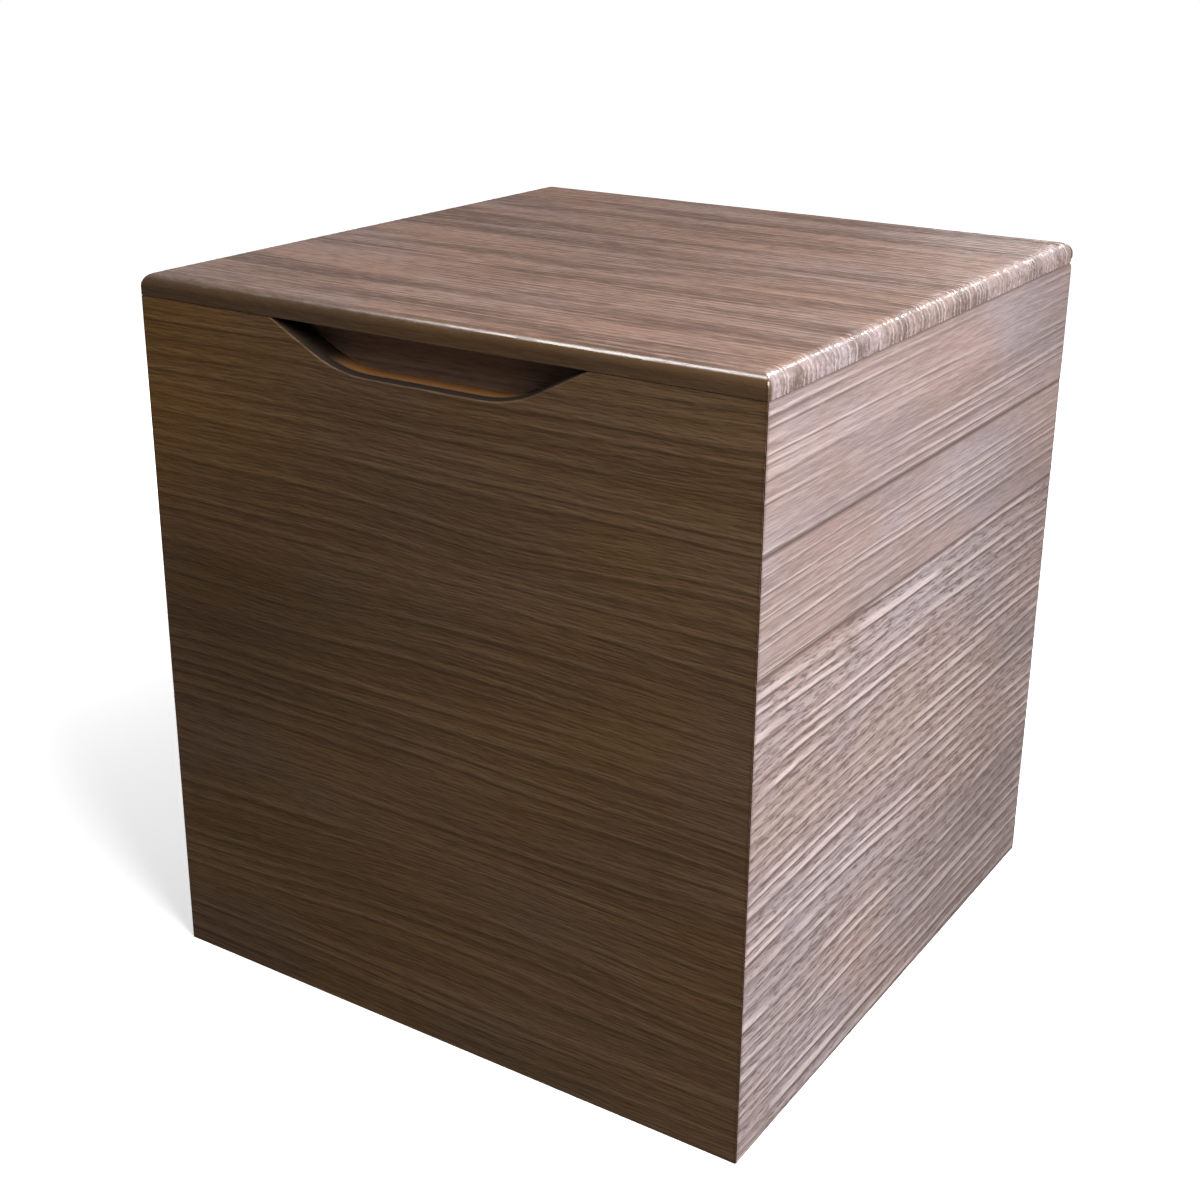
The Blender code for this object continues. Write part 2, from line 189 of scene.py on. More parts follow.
# Boards of each side wall, from the top down
SIDE_BOARDS = (
    ("upper", UPPER_RINGS, FINE_LOOK, UPPER_DEPTH),
    ("middle", MIDDLE_RINGS, FINE_LOOK, MIDDLE_DEPTH),
    ("lower", LOWER_RINGS, COARSE_LOOK, LOWER_DEPTH),
)


# Node helpers

def feed(tree, socket, value):
    """Link a socket to another node's output, or set its plain value."""
    if isinstance(value, bpy.types.NodeSocket):
        tree.links.new(value, socket)
    else:
        socket.default_value = value


def calc(tree, operation, *values):
    node = tree.nodes.new("ShaderNodeMath")
    node.operation = operation
    for socket, value in zip(node.inputs, values):
        feed(tree, socket, value)
    return node.outputs[0]


def plus(tree, first, second):
    return calc(tree, "ADD", first, second)


def minus(tree, first, second):
    return calc(tree, "SUBTRACT", first, second)


def times(tree, first, second):
    return calc(tree, "MULTIPLY", first, second)


def over(tree, first, second):
    return calc(tree, "DIVIDE", first, second)


def apart(tree, first, second):
    """How far two values are apart."""
    return calc(tree, "ABSOLUTE", minus(tree, first, second))


def vector_node(tree, operation, *vectors):
    node = tree.nodes.new("ShaderNodeVectorMath")
    node.operation = operation
    for socket, value in zip(node.inputs, vectors):
        feed(tree, socket, value)
    return node


def vector_calc(tree, operation, *vectors):
    return vector_node(tree, operation, *vectors).outputs["Vector"]


def measure(tree, operation, *vectors):
    """A plain number from one or two vectors, such as their distance."""
    return vector_node(tree, operation, *vectors).outputs["Value"]


def combine(tree, x, y, z):
    node = tree.nodes.new("ShaderNodeCombineXYZ")
    for socket, value in zip(node.inputs, (x, y, z)):
        feed(tree, socket, value)
    return node.outputs[0]


def separate(tree, vector):
    node = tree.nodes.new("ShaderNodeSeparateXYZ")
    feed(tree, node.inputs[0], vector)
    return node.outputs


def noise(tree, vector, scale, detail=1.0, roughness=0.5):
    """Noise of about one blob per unit of the scaled vector."""
    node = tree.nodes.new("ShaderNodeTexNoise")
    feed(tree, node.inputs["Vector"], vector_calc(tree, "MULTIPLY", vector, scale))
    feed(tree, node.inputs["Scale"], 1.0)
    feed(tree, node.inputs["Detail"], detail)
    feed(tree, node.inputs["Roughness"], roughness)
    return node.outputs[0]


def ramp(tree, value, low, high, to_low=0.0, to_high=1.0):
    """Smooth step of a value from low..high to to_low..to_high."""
    node = tree.nodes.new("ShaderNodeMapRange")
    node.interpolation_type = "SMOOTHSTEP"
    limits = {"From Min": low, "From Max": high, "To Min": to_low, "To Max": to_high}
    for name, number in limits.items():
        feed(tree, node.inputs[name], number)
    feed(tree, node.inputs["Value"], value)
    return node.outputs[0]


def mix_colour(tree, share, first, second, blend="MIX"):
    node = tree.nodes.new("ShaderNodeMix")
    node.data_type = "RGBA"
    node.blend_type = blend
    feed(tree, node.inputs["Factor"], share)
    for socket, colour in ((node.inputs[6], first), (node.inputs[7], second)):
        feed(tree, socket, colour if isinstance(colour, bpy.types.NodeSocket) else (*colour, 1))
    return node.outputs[2]


def add_sockets(tree, inputs, outputs):
    """Named sockets of a node group: inputs are (name, type, default)."""
    for name, kind, default in inputs:
        socket = tree.interface.new_socket(name, in_out="INPUT", socket_type=kind)
        if default is not None:
            socket.default_value = default
    for name, kind in outputs:
        tree.interface.new_socket(name, in_out="OUTPUT", socket_type=kind)
    return tree.nodes.new("NodeGroupInput").outputs, tree.nodes.new("NodeGroupOutput").inputs


def use_group(tree, kind, group, values):
    node = tree.nodes.new(kind)
    node.node_tree = group
    for name, value in values.items():
        feed(tree, node.inputs[name], value)
    return node.outputs


def grain_axes(tree, vector, order):
    """Vector with the grain's direction first, then across it, then into the board."""
    axes = dict(zip("XYZ", separate(tree, vector)))
    return combine(tree, *(axes[letter] for letter in order))


# Grain of brushed paulownia. The same group makes the relief and the colour, so they line up.

GRAIN_INPUTS = (
    ("Ring Width", "NodeSocketFloat", 0.003),
    ("Evenness", "NodeSocketFloat", 0.0),
    ("Ridge Share", "NodeSocketFloat", 0.26),
    ("Sway", "NodeSocketFloat", 0.006),
    ("Line Length", "NodeSocketFloat", 0.12),
    ("Fleck Length", "NodeSocketFloat", 0.006),
    ("Seed", "NodeSocketFloat", 0.0),
)

# Scales of the noises along, across and into the board, which count per metre, ring, line or pore
SWAY_SCALE = (2.5, 8.0, 8.0)
SPACING_SCALE = (2.0, 0.42, 14.0)
LINE_SCALE = (1.0, 5.37, 1.0)
PORE_SCALE = (1.0, 820.0, 600.0)
TONE_SCALE = (6.0, 55.0, 55.0)
HUE_SCALE = (9.0, 16.0, 16.0)
LINE_LAYER = 0.5

# How far the rings' spacing wanders, in rings, and how much of that an even grain holds back
DRIFT = 2.6
DRIFT_HELD = 2.0

# Ring lines fade along the board, but in an even grain not below a steady share
FADING = (0.36, 0.62)
STEADY = 0.6

# Places of the ridge and of the groove in a ring, and the widths of their crest, floor and flank
RIDGE_PLACE = 0.58
RIDGE_CREST = 0.06
GROOVE_PLACE = 0.26
GROOVE_BAND = (0.05, 0.2)

# Middle of a noise, and the spread that it is stretched from
NOISE_MIDDLE = 0.5
SPREAD = (0.30, 0.70)
HUE_SPREAD = (0.35, 0.68)


def grain_group(kind):
    """Proud ring lines, the grooves beside them, pore flecks and slow changes, from a vector in metres."""
    tree = bpy.data.node_groups.new("brushed_grain_" + kind[0].lower(), kind)
    inputs = (("Vector", "NodeSocketVector", None),) + GRAIN_INPUTS
    outputs = [(name, "NodeSocketFloat") for name in ("Ridge", "Groove", "Fleck", "Tone", "Hue")]
    given, result = add_sockets(tree, inputs, outputs)
    seed = given["Seed"]
    moved = vector_calc(tree, "ADD", given["Vector"], combine(tree, seed, seed, seed))
    along, across, into = separate(tree, moved)

    slow = minus(tree, noise(tree, moved, SWAY_SCALE, 2.0), NOISE_MIDDLE)
    swayed = plus(tree, across, times(tree, slow, given["Sway"]))
    ring = over(tree, swayed, given["Ring Width"])
    wander = minus(tree, noise(tree, combine(tree, along, ring, into), SPACING_SCALE), NOISE_MIDDLE)
    drift = minus(tree, DRIFT, times(tree, given["Evenness"], DRIFT_HELD))
    phase = plus(tree, ring, times(tree, wander, drift))
    number = calc(tree, "FLOOR", phase)
    within = calc(tree, "FRACT", phase)

    run = over(tree, along, given["Line Length"])
    faint = noise(tree, combine(tree, run, number, LINE_LAYER), LINE_SCALE, 2.0)
    steady = times(tree, given["Evenness"], STEADY)
    strength = calc(tree, "MAXIMUM", ramp(tree, faint, *FADING), steady)
    from_ridge = apart(tree, within, RIDGE_PLACE)
    ridge = ramp(tree, from_ridge, RIDGE_CREST, given["Ridge Share"], 1.0, 0.0)
    groove = ramp(tree, apart(tree, within, GROOVE_PLACE), *GROOVE_BAND, 1.0, 0.0)
    tree.links.new(times(tree, ridge, strength), result["Ridge"])
    tree.links.new(times(tree, groove, strength), result["Groove"])

    dash = over(tree, along, given["Fleck Length"])
    pores = noise(tree, combine(tree, dash, swayed, into), PORE_SCALE, 2.0, 0.6)
    tree.links.new(ramp(tree, pores, *SPREAD), result["Fleck"])
    tone = noise(tree, moved, TONE_SCALE, 3.0, 0.6)
    tree.links.new(ramp(tree, tone, *SPREAD), result["Tone"])
    hue = noise(tree, moved, HUE_SCALE, 2.0)
    tree.links.new(ramp(tree, hue, *HUE_SPREAD), result["Hue"])
    return tree


SHADER_GRAIN = grain_group("ShaderNodeTree")
RELIEF_GRAIN = grain_group("GeometryNodeTree")

# Worn rim and darkened corners: reach of the masks, how ragged they are, how they fade, and how much
# narrower they are at a corner
WEAR_REACH = 0.0085
WEAR_SCALE = (160.0, 160.0, 160.0)
WEAR_RAGGED = (0.25, 0.75, 0.7, 1.3)
WEAR_FADE = (0.2, 1.0, 1.0, 0.0)
CORNER_SHARPNESS = 4.0


def edge_group():
    """Masks of the box's outer edges: Rim where the top turns down, Corner where two walls meet."""
    tree = bpy.data.node_groups.new("edge_wear", "ShaderNodeTree")
    inputs = (("Vector", "NodeSocketVector", None), ("Reach", "NodeSocketFloat", WEAR_REACH))
    given, result = add_sockets(tree, inputs, [("Rim", "NodeSocketFloat"), ("Corner", "NodeSocketFloat")])
    offset = vector_calc(tree, "SUBTRACT", given["Vector"], tuple(MIDDLE))
    away = vector_calc(tree, "ABSOLUTE", offset)
    x, y, _ = separate(tree, vector_calc(tree, "SUBTRACT", tuple(HALF), away))
    below_top = minus(tree, HIGH.z, separate(tree, given["Vector"])[2])
    ragged = ramp(tree, noise(tree, given["Vector"], WEAR_SCALE, 2.0, 0.6), *WEAR_RAGGED)
    reach = times(tree, given["Reach"], ragged)
    to_rim = calc(tree, "MAXIMUM", calc(tree, "MINIMUM", x, y), below_top)
    to_corner = times(tree, calc(tree, "MAXIMUM", x, y), CORNER_SHARPNESS)
    for name, distance in (("Rim", to_rim), ("Corner", to_corner)):
        tree.links.new(ramp(tree, over(tree, distance, reach), *WEAR_FADE), result[name])
    return tree


EDGE_WEAR = edge_group()


# Materials

def new_material(name):
    material = bpy.data.materials.new(name)
    material.use_nodes = True
    tree = material.node_tree
    shader = tree.nodes["Principled BSDF"]
    place = tree.nodes.new("ShaderNodeTexCoord").outputs["Object"]
    return material, tree, shader, place


def bump(tree, shader, height, strength, distance):
    node = tree.nodes.new("ShaderNodeBump")
    node.inputs["Strength"].default_value = strength
    node.inputs["Distance"].default_value = distance
    tree.links.new(height, node.inputs["Height"])
    tree.links.new(node.outputs["Normal"], shader.inputs["Normal"])


# The bare inside starts this far outside the walls' inner faces, and reaches this far into the lid
BARE_MARGIN = 0.0004
LID_MARGIN = 0.0006


def inside_mask(tree, place):
    """1 on the bare faces inside the box, 0 on the charred outside."""
    x, y, z = separate(tree, place)
    inner_x = minus(tree, HALF.x - WALL + BARE_MARGIN, calc(tree, "ABSOLUTE", x))
    inner_y = minus(tree, HALF.y - WALL + BARE_MARGIN, calc(tree, "ABSOLUTE", y))
    within = ramp(tree, calc(tree, "MINIMUM", inner_x, inner_y), 0.0, BARE_MARGIN)
    below = ramp(tree, minus(tree, LID_LOW.z + LID_MARGIN, z), 0.0, BARE_MARGIN)
    return times(tree, within, below)


# Finger notch, in metres: its floor, the outer ends and the level part as measured from its middle, and the
# start and end of the lip and of the ledge as measured from the front face
NOTCH_FLOOR = (0.300, 0.309)
NOTCH_ENDS = (0.080, 0.086)
NOTCH_LEVEL = (0.036, 0.054)
LIP_START = (0.0003, 0.0007)
LIP_END = (0.0026, 0.0040)
LEDGE_START = (0.0030, 0.0045)

# How far up a face of the notch looks where its ledge takes painted light
LEDGE_FACING = (0.87, 0.96)


def notch_masks(tree, place):
    """Masks of the finger notch: painted shade on its lip and ends, and painted light on the ledge behind
    the lip.
    """
    x, y, z = separate(tree, place)
    behind = minus(tree, y, FRONT_LOW.y)
    from_middle = calc(tree, "ABSOLUTE", x)
    near = times(tree, ramp(tree, z, *NOTCH_FLOOR), ramp(tree, from_middle, *NOTCH_ENDS, 1.0, 0.0))
    level = ramp(tree, from_middle, *NOTCH_LEVEL, 1.0, 0.0)
    past_lip = times(tree, level, ramp(tree, behind, *LIP_END))
    # The lip and the notch's ends take painted shade
    lip = times(tree, ramp(tree, behind, *LIP_START), minus(tree, 1.0, past_lip))
    facing = separate(tree, tree.nodes.new("ShaderNodeNewGeometry").outputs["Normal"])[2]
    # Painted light on the faces of the notch's level part that look up
    lit_from_above = times(tree, ramp(tree, facing, *LEDGE_FACING), level)
    lit_ledge = times(tree, ramp(tree, behind, *LEDGE_START), lit_from_above)
    return times(tree, near, lip), times(tree, near, lit_ledge)


def patch(tree, place, amount, centre, reach):
    """Mask of a round patch that fades out from its centre."""
    return ramp(tree, measure(tree, "DISTANCE", place, centre), 0.0, reach, amount, 0.0)


# Where the lid's edge turns down, in metres from the walls' faces, and how much calmer its grain gets there.
# There it takes painted shade at the front, and the side boards' colours with their painted sheen at the
# sides.
FRONT_TURN = (0.0012, 0.0044)
SIDE_TURN = (0.0014, 0.0048)
TURN_CALM = 0.65


def wall_palette(tree, place, look):
    """The lid's colours, blended where it turns down: into painted shade at the front, and into the side
    boards' colours, paled with painted sheen, at the sides.
    """
    x, y, _ = separate(tree, place)
    at_front = ramp(tree, minus(tree, HIGH.y, calc(tree, "ABSOLUTE", y)), *FRONT_TURN, 1.0, 0.0)
    at_side = ramp(tree, minus(tree, HIGH.x, calc(tree, "ABSOLUTE", x)), *SIDE_TURN, 1.0, 0.0)
    palette = {}
    for name in ("warm", "grey", "light", "dark"):
        # At the sides the turned edge takes the side boards' colours, paled with painted sheen
        sides = mix_colour(tree, at_side, look[name], SIDE_CHAR_AND_SHEEN[name])
        # At the front it takes painted shade
        palette[name] = mix_colour(tree, at_front, sides, EDGE_PAINTED_SHADE[name])
    calm = minus(tree, 1.0, times(tree, at_front, TURN_CALM))
    for name in ("lines", "flecks", "tone"):
        palette[name] = times(tree, calm, look[name])
    return {**look, **palette}


# Pores that show pale and dark, and the band of the ridges that gathered pores keep out of
PALE_FLECKS = (0.55, 1.0, 0.0, 0.6)
DARK_FLECKS = (0.0, 0.45, 1.0, 0.0)
BETWEEN_RIDGES = (0.1, 0.8)


def grain_colour(tree, field, look):
    """Ground of the char, paler on the worn ring lines and darker in the grooves, with pore flecks."""
    ground = mix_colour(tree, field["Hue"], look["warm"], look["grey"])
    slow = ramp(tree, field["Tone"], 0.0, 1.0, 0.0, look["tone"])
    toned = mix_colour(tree, slow, ground, look["dark"])
    raised = mix_colour(tree, times(tree, field["Ridge"], look["lines"]), toned, look["light"])
    cut = mix_colour(tree, times(tree, field["Groove"], look["lines"]), raised, look["dark"])
    pale_fleck = times(tree, ramp(tree, field["Fleck"], *PALE_FLECKS), look["flecks"])
    dark_fleck = times(tree, ramp(tree, field["Fleck"], *DARK_FLECKS), look["flecks"])
    if "gather" in look:
        kept = 1.0 - look["gather"]
        dark_fleck = times(tree, dark_fleck, ramp(tree, field["Ridge"], *BETWEEN_RIDGES, 1.0, kept))
        pale_fleck = times(tree, pale_fleck, kept)
    flecked = mix_colour(tree, pale_fleck, cut, look["light"])
    return mix_colour(tree, dark_fleck, flecked, look["dark"])


# How strongly the rim is rubbed pale and a corner darkened
RIM_WEAR = 0.10
CORNER_DARKENING = 0.55

# Painted shade thickens towards the back and the foot: how much height counts against depth, its reach and
# unevenness
BACK_SHADE_SLOPE = 0.45
BACK_SHADE_REACH = (-0.12, 0.09)
BACK_SHADE_UNEVEN = (0.6, 1.0)


def weathered(tree, place, field, wear, look, colour):
    """Rubbed and darkened edges, painted shade towards the back and foot, and single patches: a smoked one
    and one of painted light.
    """
    colour = mix_colour(tree, times(tree, wear["Rim"], RIM_WEAR), colour, look["light"])
    colour = mix_colour(tree, times(tree, wear["Corner"], CORNER_DARKENING), colour, look["dark"])
    # Painted shade, darker towards the back and the foot
    if "back_shade" in look:
        _, y, z = separate(tree, place)
        low_back = minus(tree, y, times(tree, z, BACK_SHADE_SLOPE))
        amount = ramp(tree, low_back, *BACK_SHADE_REACH, 0.0, look["back_shade"])
        uneven = ramp(tree, field["Hue"], 0.0, 1.0, *BACK_SHADE_UNEVEN)
        colour = mix_colour(tree, times(tree, amount, uneven), colour, look["dark"])
    if "smoke" in look:
        colour = mix_colour(tree, patch(tree, place, *look["smoke"]), colour, look["dark"])
    # A patch of painted warm light, multiplied in with its tint
    if "painted_light" in look:
        colour = mix_colour(tree, patch(tree, place, *look["painted_light"]), colour, look["tint"], "MULTIPLY")
    return colour


# Roughness of the waxed wood from groove to ridge, of its dull pores and of the notch's lip, and how much
# smoother the rim is rubbed
SATIN = (0.52, 0.42)
DULL_PORES = (0.0, 0.5, 0.12, 0.0)
LIP_ROUGHNESS = 0.75
RIM_POLISH = 0.30
RIM_SMOOTH = 0.95

# How fully the notch's lip and ends take their painted shade, its ledge its painted light, and a glue line
# its own colour
LIP_SHARE = 0.95
LEDGE_SHARE = 0.8
GLUE_LINE = (0.0004, EASE_WIDTH, 0.75, 0.0)


def charred_wood(name, order, grain, look, edges=None, bare=True):
    """Charred, brushed and waxed paulownia. edges are its glued edges across the grain."""
    material, tree, shader, place = new_material(name)
    axes = grain_axes(tree, place, order)
    field = use_group(tree, "ShaderNodeGroup", SHADER_GRAIN, {"Vector": axes, **grain})
    wear = use_group(tree, "ShaderNodeGroup", EDGE_WEAR, {"Vector": place})
    if "turned" in look:
        look = wall_palette(tree, place, look)
    colour = weathered(tree, place, field, wear, look, grain_colour(tree, field, look))
    satin = ramp(tree, field["Ridge"], 0.0, 1.0, *SATIN)
    dulled = plus(tree, satin, ramp(tree, field["Fleck"], *DULL_PORES))
    gloss = minus(tree, dulled, times(tree, wear["Rim"], RIM_POLISH))
    if "lit_ledge" in look:
        lip, lit_ledge = notch_masks(tree, place)
        # Painted shade on the notch's lip and ends
        colour = mix_colour(tree, times(tree, lip, LIP_SHARE), colour, look["lip"])
        # Painted light on the notch's ledge
        colour = mix_colour(tree, times(tree, lit_ledge, LEDGE_SHARE), colour, look["lit_ledge"])
        gloss = calc(tree, "MAXIMUM", gloss, times(tree, lip, LIP_ROUGHNESS))
    if edges:
        across = separate(tree, axes)[1]
        low, high = edges
        nearest = calc(tree, "MINIMUM", minus(tree, across, low), minus(tree, high, across))
        colour = mix_colour(tree, ramp(tree, nearest, *GLUE_LINE), colour, look["dark"])
    if bare:
        pale = mix_colour(tree, field["Ridge"], BARE_GROUND, BARE_RING)
        colour = mix_colour(tree, inside_mask(tree, place), colour, pale)
    tree.links.new(colour, shader.inputs["Base Color"])
    tree.links.new(gloss, shader.inputs["Roughness"])
    pitted = minus(tree, 1.0, times(tree, wear["Rim"], RIM_SMOOTH))
    bump(tree, shader, times(tree, field["Fleck"], pitted), strength=0.45, distance=0.00025)
    shader.inputs["Specular IOR Level"].default_value = look["shine"]
    return material


# How strongly tone, grooves and pores show in bare wood, and its roughness from ground to groove
BARE_TONE = 0.3
BARE_LINES = 0.7
BARE_FLECKS = (0.0, 0.4, 0.3, 0.0)
BARE_ROUGHNESS = (0.62, 0.74)


def bare_wood(name, order, grain):
    """Planed paulownia without finish."""
    material, tree, shader, place = new_material(name)
    axes = grain_axes(tree, place, order)
    field = use_group(tree, "ShaderNodeGroup", SHADER_GRAIN, {"Vector": axes, **grain})
    toned = mix_colour(tree, times(tree, field["Tone"], BARE_TONE), BARE_GROUND, BARE_SHADE)
    lines = mix_colour(tree, times(tree, field["Groove"], BARE_LINES), toned, BARE_RING)
    flecked = mix_colour(tree, ramp(tree, field["Fleck"], *BARE_FLECKS), lines, BARE_RING)
    tree.links.new(flecked, shader.inputs["Base Color"])
    rough = ramp(tree, field["Groove"], 0.0, 1.0, *BARE_ROUGHNESS)
    tree.links.new(rough, shader.inputs["Roughness"])
    bump(tree, shader, minus(tree, field["Fleck"], field["Groove"]), strength=0.2, distance=0.0002)
    return material


# Blotches and scratches of the brass, per metre, how strongly they show, and how they roughen it
BLOTCH_SCALE = (260.0, 420.0, 420.0)
SCRATCH_SCALE = (90.0, 5200.0, 5200.0)
TARNISH_SPREAD = (0.35, 0.68)
RUBBED_SCRATCHES = (0.45, 0.7, 0.0, 0.35)
BRASS_ROUGHNESS = (0.28, 0.52)
SCRATCH_ROUGHNESS = 0.08


def aged_brass(name):
    """Rolled brass with brown tarnish and rubbed scratches."""
    material, tree, shader, place = new_material(name)
    tarnish = ramp(tree, noise(tree, place, BLOTCH_SCALE, 4.0, 0.65), *TARNISH_SPREAD)
    scratch = noise(tree, place, SCRATCH_SCALE, 2.0)
    colour = mix_colour(tree, tarnish, BRASS_CLEAN, BRASS_BROWN)
    shade = mix_colour(tree, ramp(tree, scratch, *RUBBED_SCRATCHES), colour, BRASS_RUBBED)
    tree.links.new(shade, shader.inputs["Base Color"])
    shader.inputs["Metallic"].default_value = 1.0
    dull = ramp(tree, tarnish, 0.0, 1.0, *BRASS_ROUGHNESS)
    rough = plus(tree, dull, times(tree, scratch, SCRATCH_ROUGHNESS))
    tree.links.new(rough, shader.inputs["Roughness"])
    bump(tree, shader, plus(tree, tarnish, scratch), strength=0.12, distance=0.0001)
    return material


# Brushed boards

# Shares of a relief's depth: its lines, its mean level and its pores, and how flat it is sanded where a face
# turns across the grain
LINE_SHARE = 0.5
MEAN_LEVEL = 0.5
PORE_PITS = (0.0, 0.5, 0.3, 0.0)
SANDED = (0.06, 0.43, 1.0, 0.15)


def relief_tree():
    """Sinks a face under its own grain, and softens it towards the glued edges of its board."""
    tree = bpy.data.node_groups.new("brushed_relief", "GeometryNodeTree")
    inputs = (
        ("Geometry", "NodeSocketGeometry", None),
        ("Depth", "NodeSocketFloat", 0.0003),
        *GRAIN_INPUTS,
        ("Along", "NodeSocketVector", (1.0, 0.0, 0.0)),
        ("Across", "NodeSocketVector", (0.0, 1.0, 0.0)),
        ("Into", "NodeSocketVector", (0.0, 0.0, 1.0)),
        ("Low Edge", "NodeSocketFloat", -1.0),
        ("High Edge", "NodeSocketFloat", 1.0),
        ("Ease", "NodeSocketFloat", 0.0),
        ("Finish", "NodeSocketMaterial", None),
    )
    given, result = add_sockets(tree, inputs, [("Geometry", "NodeSocketGeometry")])
    place = tree.nodes.new("GeometryNodeInputPosition").outputs[0]
    normal = tree.nodes.new("GeometryNodeInputNormal").outputs[0]
    directions = [measure(tree, "DOT_PRODUCT", place, given[name]) for name in ("Along", "Across", "Into")]
    across = directions[1]

    grain = {name: given[name] for name, _, _ in GRAIN_INPUTS}
    vector = combine(tree, *directions)
    field = use_group(tree, "GeometryNodeGroup", RELIEF_GRAIN, {"Vector": vector, **grain})
    lines = times(tree, minus(tree, field["Groove"], field["Ridge"]), LINE_SHARE)
    pits = ramp(tree, field["Fleck"], *PORE_PITS)
    turned = measure(tree, "DOT_PRODUCT", normal, given["Across"])
    sanded = ramp(tree, calc(tree, "ABSOLUTE", turned), *SANDED)
    uneven = times(tree, plus(tree, lines, pits), sanded)
    sink = times(tree, plus(tree, uneven, MEAN_LEVEL), given["Depth"])

    from_low = minus(tree, across, given["Low Edge"])
    from_high = minus(tree, given["High Edge"], across)
    nearest = over(tree, calc(tree, "MINIMUM", from_low, from_high), EASE_WIDTH)
    ease = times(tree, ramp(tree, nearest, 0.0, 1.0, 1.0, 0.0), given["Ease"])
    depth = plus(tree, plus(tree, sink, ease), SKIN)
    inward = vector_node(tree, "SCALE", normal)
    tree.links.new(times(tree, depth, -1.0), inward.inputs["Scale"])

    move = tree.nodes.new("GeometryNodeSetPosition")
    tree.links.new(given["Geometry"], move.inputs["Geometry"])
    tree.links.new(inward.outputs["Vector"], move.inputs["Offset"])
    real = tree.nodes.new("GeometryNodeRealizeInstances")
    tree.links.new(move.outputs[0], real.inputs[0])
    finish = tree.nodes.new("GeometryNodeSetMaterial")
    tree.links.new(real.outputs[0], finish.inputs["Geometry"])
    tree.links.new(given["Finish"], finish.inputs["Material"])
    tree.links.new(finish.outputs[0], result["Geometry"])
    return tree


BRUSHED_RELIEF = relief_tree()


def steps(low, high, pitch):
    """Evenly spaced values from low to high, about a pitch apart."""
    count = max(1, round((high - low) / pitch))
    return [low + (high - low) * i / count for i in range(count + 1)]


def grid_block(rows, skirts):
    """Closed block from a grid of points and lower copies of its border."""
    mesh = bmesh.new()
    grid = [[mesh.verts.new(point) for point in row] for row in rows]
    for a, b in zip(grid, grid[1:]):
        for i in range(len(a) - 1):
            mesh.faces.new((a[i], a[i + 1], b[i + 1], b[i]))
    right = [row[-1] for row in grid[1:-1]]
    left = [row[0] for row in grid[-2:0:-1]]
    border = grid[0] + right + grid[-1][::-1] + left
    for shift in skirts:
        lower = [mesh.verts.new(shift(vert.co)) for vert in border]
        for i in range(len(border)):
            j = (i + 1) % len(border)
            mesh.faces.new((border[j], border[i], lower[i], lower[j]))
        border = lower
    mesh.faces.new(border)
    bmesh.ops.recalc_face_normals(mesh, faces=mesh.faces)
    return mesh


def new_object(name, data):
    item = bpy.data.objects.new(name, data)
    bpy.context.collection.objects.link(item)
    return item


def mesh_object(name, mesh):
    data = bpy.data.meshes.new(name)
    mesh.to_mesh(data)
    mesh.free()
    return new_object(name, data)


def evaluated_mesh(item):
    bpy.context.view_layer.update()
    return bpy.data.meshes.new_from_object(item.evaluated_get(bpy.context.evaluated_depsgraph_get()))


def discard(item):
    data = item.data
    bpy.data.objects.remove(item)
    bpy.data.meshes.remove(data)


def solid_of(node):
    """Closed copy of a node's solid, with all its faces marked as sawn."""
    mesh = bmesh.new()
    mesh.from_mesh(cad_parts[node].data)
    bmesh.ops.remove_doubles(mesh, verts=mesh.verts, dist=SAME_POINT)
    item = mesh_object("solid", mesh)
    mark = item.data.attributes.new("sawn", "BOOLEAN", "FACE")
    mark.data.foreach_set("value", [True] * len(item.data.polygons))
    return item


def remove_fins(mesh):
    """Take out pairs of triangles that lie back to back along a feathered edge."""
    bmesh.ops.triangulate(mesh, faces=mesh.faces[:], quad_method="FIXED", ngon_method="EAR_CLIP")
    by_corners = {}
    for face in mesh.faces:
        by_corners.setdefault(frozenset(face.verts), []).append(face)
    fins = [face for twins in by_corners.values() if len(twins) > 1 for face in twins]
    bmesh.ops.delete(mesh, geom=fins, context="FACES")


def crisp_edges(mesh):
    """Smooth shading, broken round each brushed face and where sawn faces meet at an angle."""
    sawn = mesh.faces.layers.bool["sawn"]
    for face in mesh.faces:
        face.smooth = True
    for edge in mesh.edges:
        marks = [face[sawn] for face in edge.link_faces]
        alike = len(marks) == 2 and marks[0] == marks[1]
        limit = SAWN_CREASE if any(marks) else BRUSHED_CREASE
        edge.smooth = alike and edge.calc_face_angle() < limit
    mesh.faces.layers.bool.remove(sawn)


def set_inputs(modifier, values):
    """Set a node tree's inputs on its modifier, by the sockets' identifiers."""
    for item in modifier.node_group.interface.items_tree:
        if item.item_type == "SOCKET" and item.in_out == "INPUT" and item.name in values:
            modifier[item.identifier] = values[item.name]


def brushed_piece(name, node, block, material, values, body):
    """The node's solid, trimmed by a block whose faces carry the brushed grain."""
    rough = mesh_object("block", block)
    relief = rough.modifiers.new("relief", "NODES")
    relief.node_group = BRUSHED_RELIEF
    set_inputs(relief, {**values, "Finish": material})
    face = new_object("face", evaluated_mesh(rough))
    solid = solid_of(node)
    trim = face.modifiers.new("trim", "BOOLEAN")
    trim.operation = "INTERSECT"
    trim.solver = "MANIFOLD"
    trim.object = solid
    data = evaluated_mesh(face)
    for item in (rough, face, solid):
        discard(item)
    data.name = name
    data.materials.clear()
    data.materials.append(material)
    data.polygons.foreach_set("material_index", [0] * len(data.polygons))
    mesh = bmesh.new()
    mesh.from_mesh(data)
    remove_fins(mesh)
    crisp_edges(mesh)
    mesh.to_mesh(data)
    mesh.free()
    piece = new_object(name, data)
    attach(piece, body)
    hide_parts(node)


